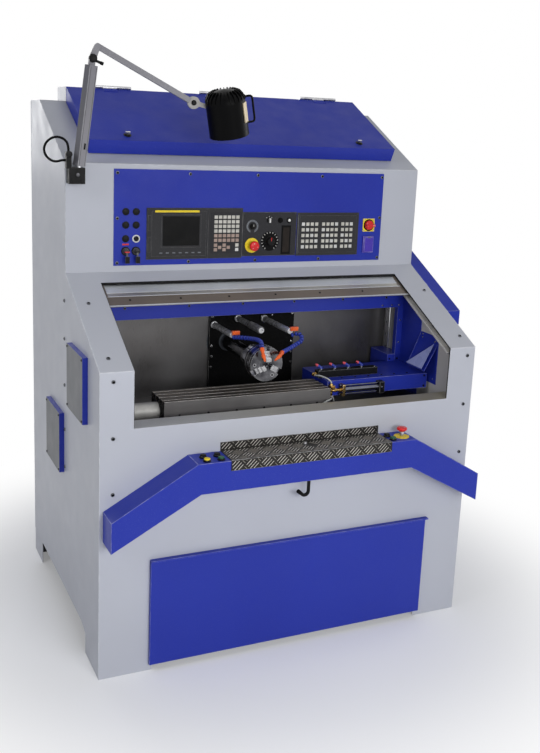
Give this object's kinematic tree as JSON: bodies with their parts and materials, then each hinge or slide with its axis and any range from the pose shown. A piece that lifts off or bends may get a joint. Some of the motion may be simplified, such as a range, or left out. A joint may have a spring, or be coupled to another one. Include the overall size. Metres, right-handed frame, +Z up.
{
  "type": "cnc key cutting machine",
  "caption": "Enclosed numerically controlled key cutting machine with a sloping work window, control face, spindle chuck, slotted table, roof lid and jointed lamp.",
  "frame": {"origin": "on the floor, in the middle of the footprint of the whole machine", "axes": "+Z up, front towards -Y, +X to the right as seen from the front"},
  "size_m": [1.6776, 1.256, 2.2327],
  "materials": {
    "left_side_panel": "clean",
    "right_side_panel": "clean",
    "front_skin": "clean",
    "control_face": "clean",
    "roof_panel": "clean",
    "rear_panel": "clean",
    "base_frame": "clean",
    "work_liner": "clean",
    "chip_tray": "clean",
    "portal_frame": "clean",
    "door_rails": "clean",
    "spindle_plate": "clean",
    "coolant_lines": "clean",
    "linear_guides": "clean",
    "chute": "clean",
    "screw_cover": "clean",
    "control_plate": "clean",
    "control_units": "clean",
    "key_caps": "clean",
    "side_covers": "clean",
    "side_housing": "clean",
    "console_bar": "clean",
    "tread_tray": "clean",
    "bar_hook": "clean",
    "panel_screws": "clean",
    "lamp_base": "clean",
    "spindle_drive": "clean",
    "table_bed": "clean",
    "door_sash": "clean",
    "lid": "clean",
    "lid_latch_left": "clean",
    "lid_latch_right": "clean",
    "chuck": "clean",
    "chuck_jaw_1": "clean",
    "chuck_jaw_2": "clean",
    "chuck_jaw_3": "clean",
    "slotted_table": "clean",
    "tool_carriage": "clean",
    "nozzle_block": "clean",
    "mist_fittings": "clean",
    "coolant_tank": "clean",
    "main_switch": "clean",
    "override_knob": "clean",
    "feed_dial": "clean",
    "key_switch_left": "clean",
    "key_switch_right": "clean",
    "mode_knob": "clean",
    "panel_button": "clean",
    "panel_stop": "clean",
    "console_stop": "clean",
    "console_button_1": "clean",
    "console_button_2": "clean",
    "console_button_3": "clean",
    "console_button_4": "clean",
    "console_button_5": "clean",
    "console_button_6": "clean",
    "lamp_lower_arm": "clean",
    "lamp_upper_arm": "clean",
    "lamp_head": "clean",
    "lamp_cable": "clean"
  },
  "bodies": {
    "cabinet": {"left_side_panel": "left_side_panel", "right_side_panel": "right_side_panel", "front_skin": "front_skin", "control_face": "control_face", "roof_panel": "roof_panel", "rear_panel": "rear_panel", "base_frame": "base_frame", "work_liner": "work_liner", "chip_tray": "chip_tray", "portal_frame": "portal_frame", "door_rails": "door_rails", "spindle_plate": "spindle_plate", "coolant_lines": "coolant_lines", "linear_guides": "linear_guides", "chute": "chute", "screw_cover": "screw_cover", "control_plate": "control_plate", "control_units": "control_units", "key_caps": "key_caps", "side_covers": "side_covers", "side_housing": "side_housing", "console_bar": "console_bar", "tread_tray": "tread_tray", "bar_hook": "bar_hook", "panel_screws": "panel_screws", "lamp_base": "lamp_base", "spindle_drive": "spindle_drive", "table_bed": "table_bed", "lamp_cable": "lamp_cable"},
    "door": {"door_sash": "door_sash"},
    "lid": {"lid": "lid"},
    "latch_left": {"lid_latch_left": "lid_latch_left"},
    "latch_right": {"lid_latch_right": "lid_latch_right"},
    "spindle": {"chuck": "chuck"},
    "jaw_1": {"chuck_jaw_1": "chuck_jaw_1"},
    "jaw_2": {"chuck_jaw_2": "chuck_jaw_2"},
    "jaw_3": {"chuck_jaw_3": "chuck_jaw_3"},
    "table": {"slotted_table": "slotted_table"},
    "carriage": {"tool_carriage": "tool_carriage", "nozzle_block": "nozzle_block", "mist_fittings": "mist_fittings"},
    "tank": {"coolant_tank": "coolant_tank"},
    "switch": {"main_switch": "main_switch"},
    "override": {"override_knob": "override_knob"},
    "feed": {"feed_dial": "feed_dial"},
    "key_a": {"key_switch_left": "key_switch_left"},
    "key_b": {"key_switch_right": "key_switch_right"},
    "mode": {"mode_knob": "mode_knob"},
    "start_button": {"panel_button": "panel_button"},
    "face_stop": {"panel_stop": "panel_stop"},
    "bar_stop": {"console_stop": "console_stop"},
    "lower_arm": {"lamp_lower_arm": "lamp_lower_arm"},
    "upper_arm": {"lamp_upper_arm": "lamp_upper_arm"},
    "head": {"lamp_head": "lamp_head"},
    "bar_button_1": {"console_button_1": "console_button_1"},
    "bar_button_2": {"console_button_2": "console_button_2"},
    "bar_button_3": {"console_button_3": "console_button_3"},
    "bar_button_4": {"console_button_4": "console_button_4"},
    "bar_button_5": {"console_button_5": "console_button_5"},
    "bar_button_6": {"console_button_6": "console_button_6"}
  },
  "joints": [
    {"name": "door_slide", "type": "slide", "parent": "cabinet", "child": "door", "axis": [0, -0.8944, -0.4472], "range_m": [0, 0.35]},
    {"name": "lid_hinge", "type": "hinge", "parent": "cabinet", "child": "lid", "pos_m": [0.01175, 0.42978, 2.09294], "axis": [-1, 0, 0], "range_deg": [0, 65]},
    {"name": "latch_left_turn", "type": "hinge", "parent": "lid", "child": "latch_left", "pos_m": [-0.49625, 0.09429, 1.85509], "axis": [0, -0.4433, 0.8964], "range_deg": [-90, 0]},
    {"name": "latch_right_turn", "type": "hinge", "parent": "lid", "child": "latch_right", "pos_m": [0.51875, 0.09429, 1.85509], "axis": [0, -0.4433, 0.8964], "range_deg": [-90, 0]},
    {"name": "spindle_spin", "type": "hinge", "parent": "cabinet", "child": "spindle", "pos_m": [-0.05325, -0.327, 1.075], "axis": [0, 1, 0], "continuous": true},
    {"name": "jaw_1_slide", "type": "slide", "parent": "spindle", "child": "jaw_1", "axis": [0, 0, 1], "range_m": [-0.006, 0.012]},
    {"name": "jaw_2_slide", "type": "slide", "parent": "spindle", "child": "jaw_2", "axis": [-0.866, 0, -0.5], "range_m": [-0.006, 0.012]},
    {"name": "jaw_3_slide", "type": "slide", "parent": "spindle", "child": "jaw_3", "axis": [0.866, 0, -0.5], "range_m": [-0.006, 0.012]},
    {"name": "table_slide", "type": "slide", "parent": "cabinet", "child": "table", "axis": [1, 0, 0], "range_m": [-0.135, 0]},
    {"name": "carriage_slide", "type": "slide", "parent": "cabinet", "child": "carriage", "axis": [0, 0, 1], "range_m": [-0.01, 0.018]},
    {"name": "tank_slide", "type": "slide", "parent": "cabinet", "child": "tank", "axis": [0, -1, 0], "range_m": [0, 0.5]},
    {"name": "main_switch_turn", "type": "hinge", "parent": "cabinet", "child": "switch", "pos_m": [0.54475, -0.01, 1.57], "axis": [0, -1, 0], "range_deg": [0, 90]},
    {"name": "override_turn", "type": "hinge", "parent": "cabinet", "child": "override", "pos_m": [0.08175, -0.01, 1.507], "axis": [0, -1, 0], "range_deg": [-135, 135]},
    {"name": "feed_dial_turn", "type": "hinge", "parent": "cabinet", "child": "feed", "pos_m": [0.00275, -0.01, 1.568], "axis": [0, -1, 0], "range_deg": [-135, 135]},
    {"name": "mode_turn", "type": "hinge", "parent": "cabinet", "child": "mode", "pos_m": [0.07575, -0.01, 1.592], "axis": [0, -1, 0], "range_deg": [-60, 60]},
    {"name": "key_left_turn", "type": "hinge", "parent": "cabinet", "child": "key_a", "pos_m": [-0.52225, -0.01, 1.475], "axis": [0, -1, 0], "range_deg": [-60, 0]},
    {"name": "key_right_turn", "type": "hinge", "parent": "cabinet", "child": "key_b", "pos_m": [-0.48125, -0.01, 1.475], "axis": [0, -1, 0], "range_deg": [0, 60]},
    {"name": "panel_button_press", "type": "slide", "parent": "cabinet", "child": "start_button", "axis": [0, 1, 0], "range_m": [0, 0.004], "stiffness_N_per_m": 150},
    {"name": "panel_stop_press", "type": "slide", "parent": "cabinet", "child": "face_stop", "axis": [0, 1, 0], "range_m": [0, 0.005], "stiffness_N_per_m": 150},
    {"name": "console_stop_press", "type": "slide", "parent": "cabinet", "child": "bar_stop", "axis": [0, 0, -1], "range_m": [0, 0.005], "stiffness_N_per_m": 400},
    {"name": "lamp_swivel", "type": "hinge", "parent": "cabinet", "child": "lower_arm", "pos_m": [-0.70825, -0.04, 1.795], "axis": [0, 0, 1], "range_deg": [-110, 0]},
    {"name": "lamp_elbow", "type": "hinge", "parent": "lower_arm", "child": "upper_arm", "pos_m": [-0.66191, -0.04651, 2.17614], "axis": [0.1392, 0.9903, 0], "range_deg": [-35, 10]},
    {"name": "lamp_head_tilt", "type": "hinge", "parent": "upper_arm", "child": "head", "pos_m": [-0.29291, -0.09837, 2.03945], "axis": [0.1392, 0.9903, 0], "range_deg": [-30, 30]},
    {"name": "console_button_1_press", "type": "slide", "parent": "cabinet", "child": "bar_button_1", "axis": [0, 0, -1], "range_m": [0, 0.004], "stiffness_N_per_m": 400},
    {"name": "console_button_2_press", "type": "slide", "parent": "cabinet", "child": "bar_button_2", "axis": [0, 0, -1], "range_m": [0, 0.004], "stiffness_N_per_m": 400},
    {"name": "console_button_3_press", "type": "slide", "parent": "cabinet", "child": "bar_button_3", "axis": [0, 0, -1], "range_m": [0, 0.004], "stiffness_N_per_m": 400},
    {"name": "console_button_4_press", "type": "slide", "parent": "cabinet", "child": "bar_button_4", "axis": [0, 0, -1], "range_m": [0, 0.004], "stiffness_N_per_m": 400},
    {"name": "console_button_5_press", "type": "slide", "parent": "cabinet", "child": "bar_button_5", "axis": [0, 0, -1], "range_m": [0, 0.004], "stiffness_N_per_m": 400},
    {"name": "console_button_6_press", "type": "slide", "parent": "cabinet", "child": "bar_button_6", "axis": [0, 0, -1], "range_m": [0, 0.004], "stiffness_N_per_m": 400}
  ],
  "couplings": [
    {"joint": "jaw_2_slide", "follows": "jaw_1_slide", "ratio": 1},
    {"joint": "jaw_3_slide", "follows": "jaw_1_slide", "ratio": 1}
  ]
}
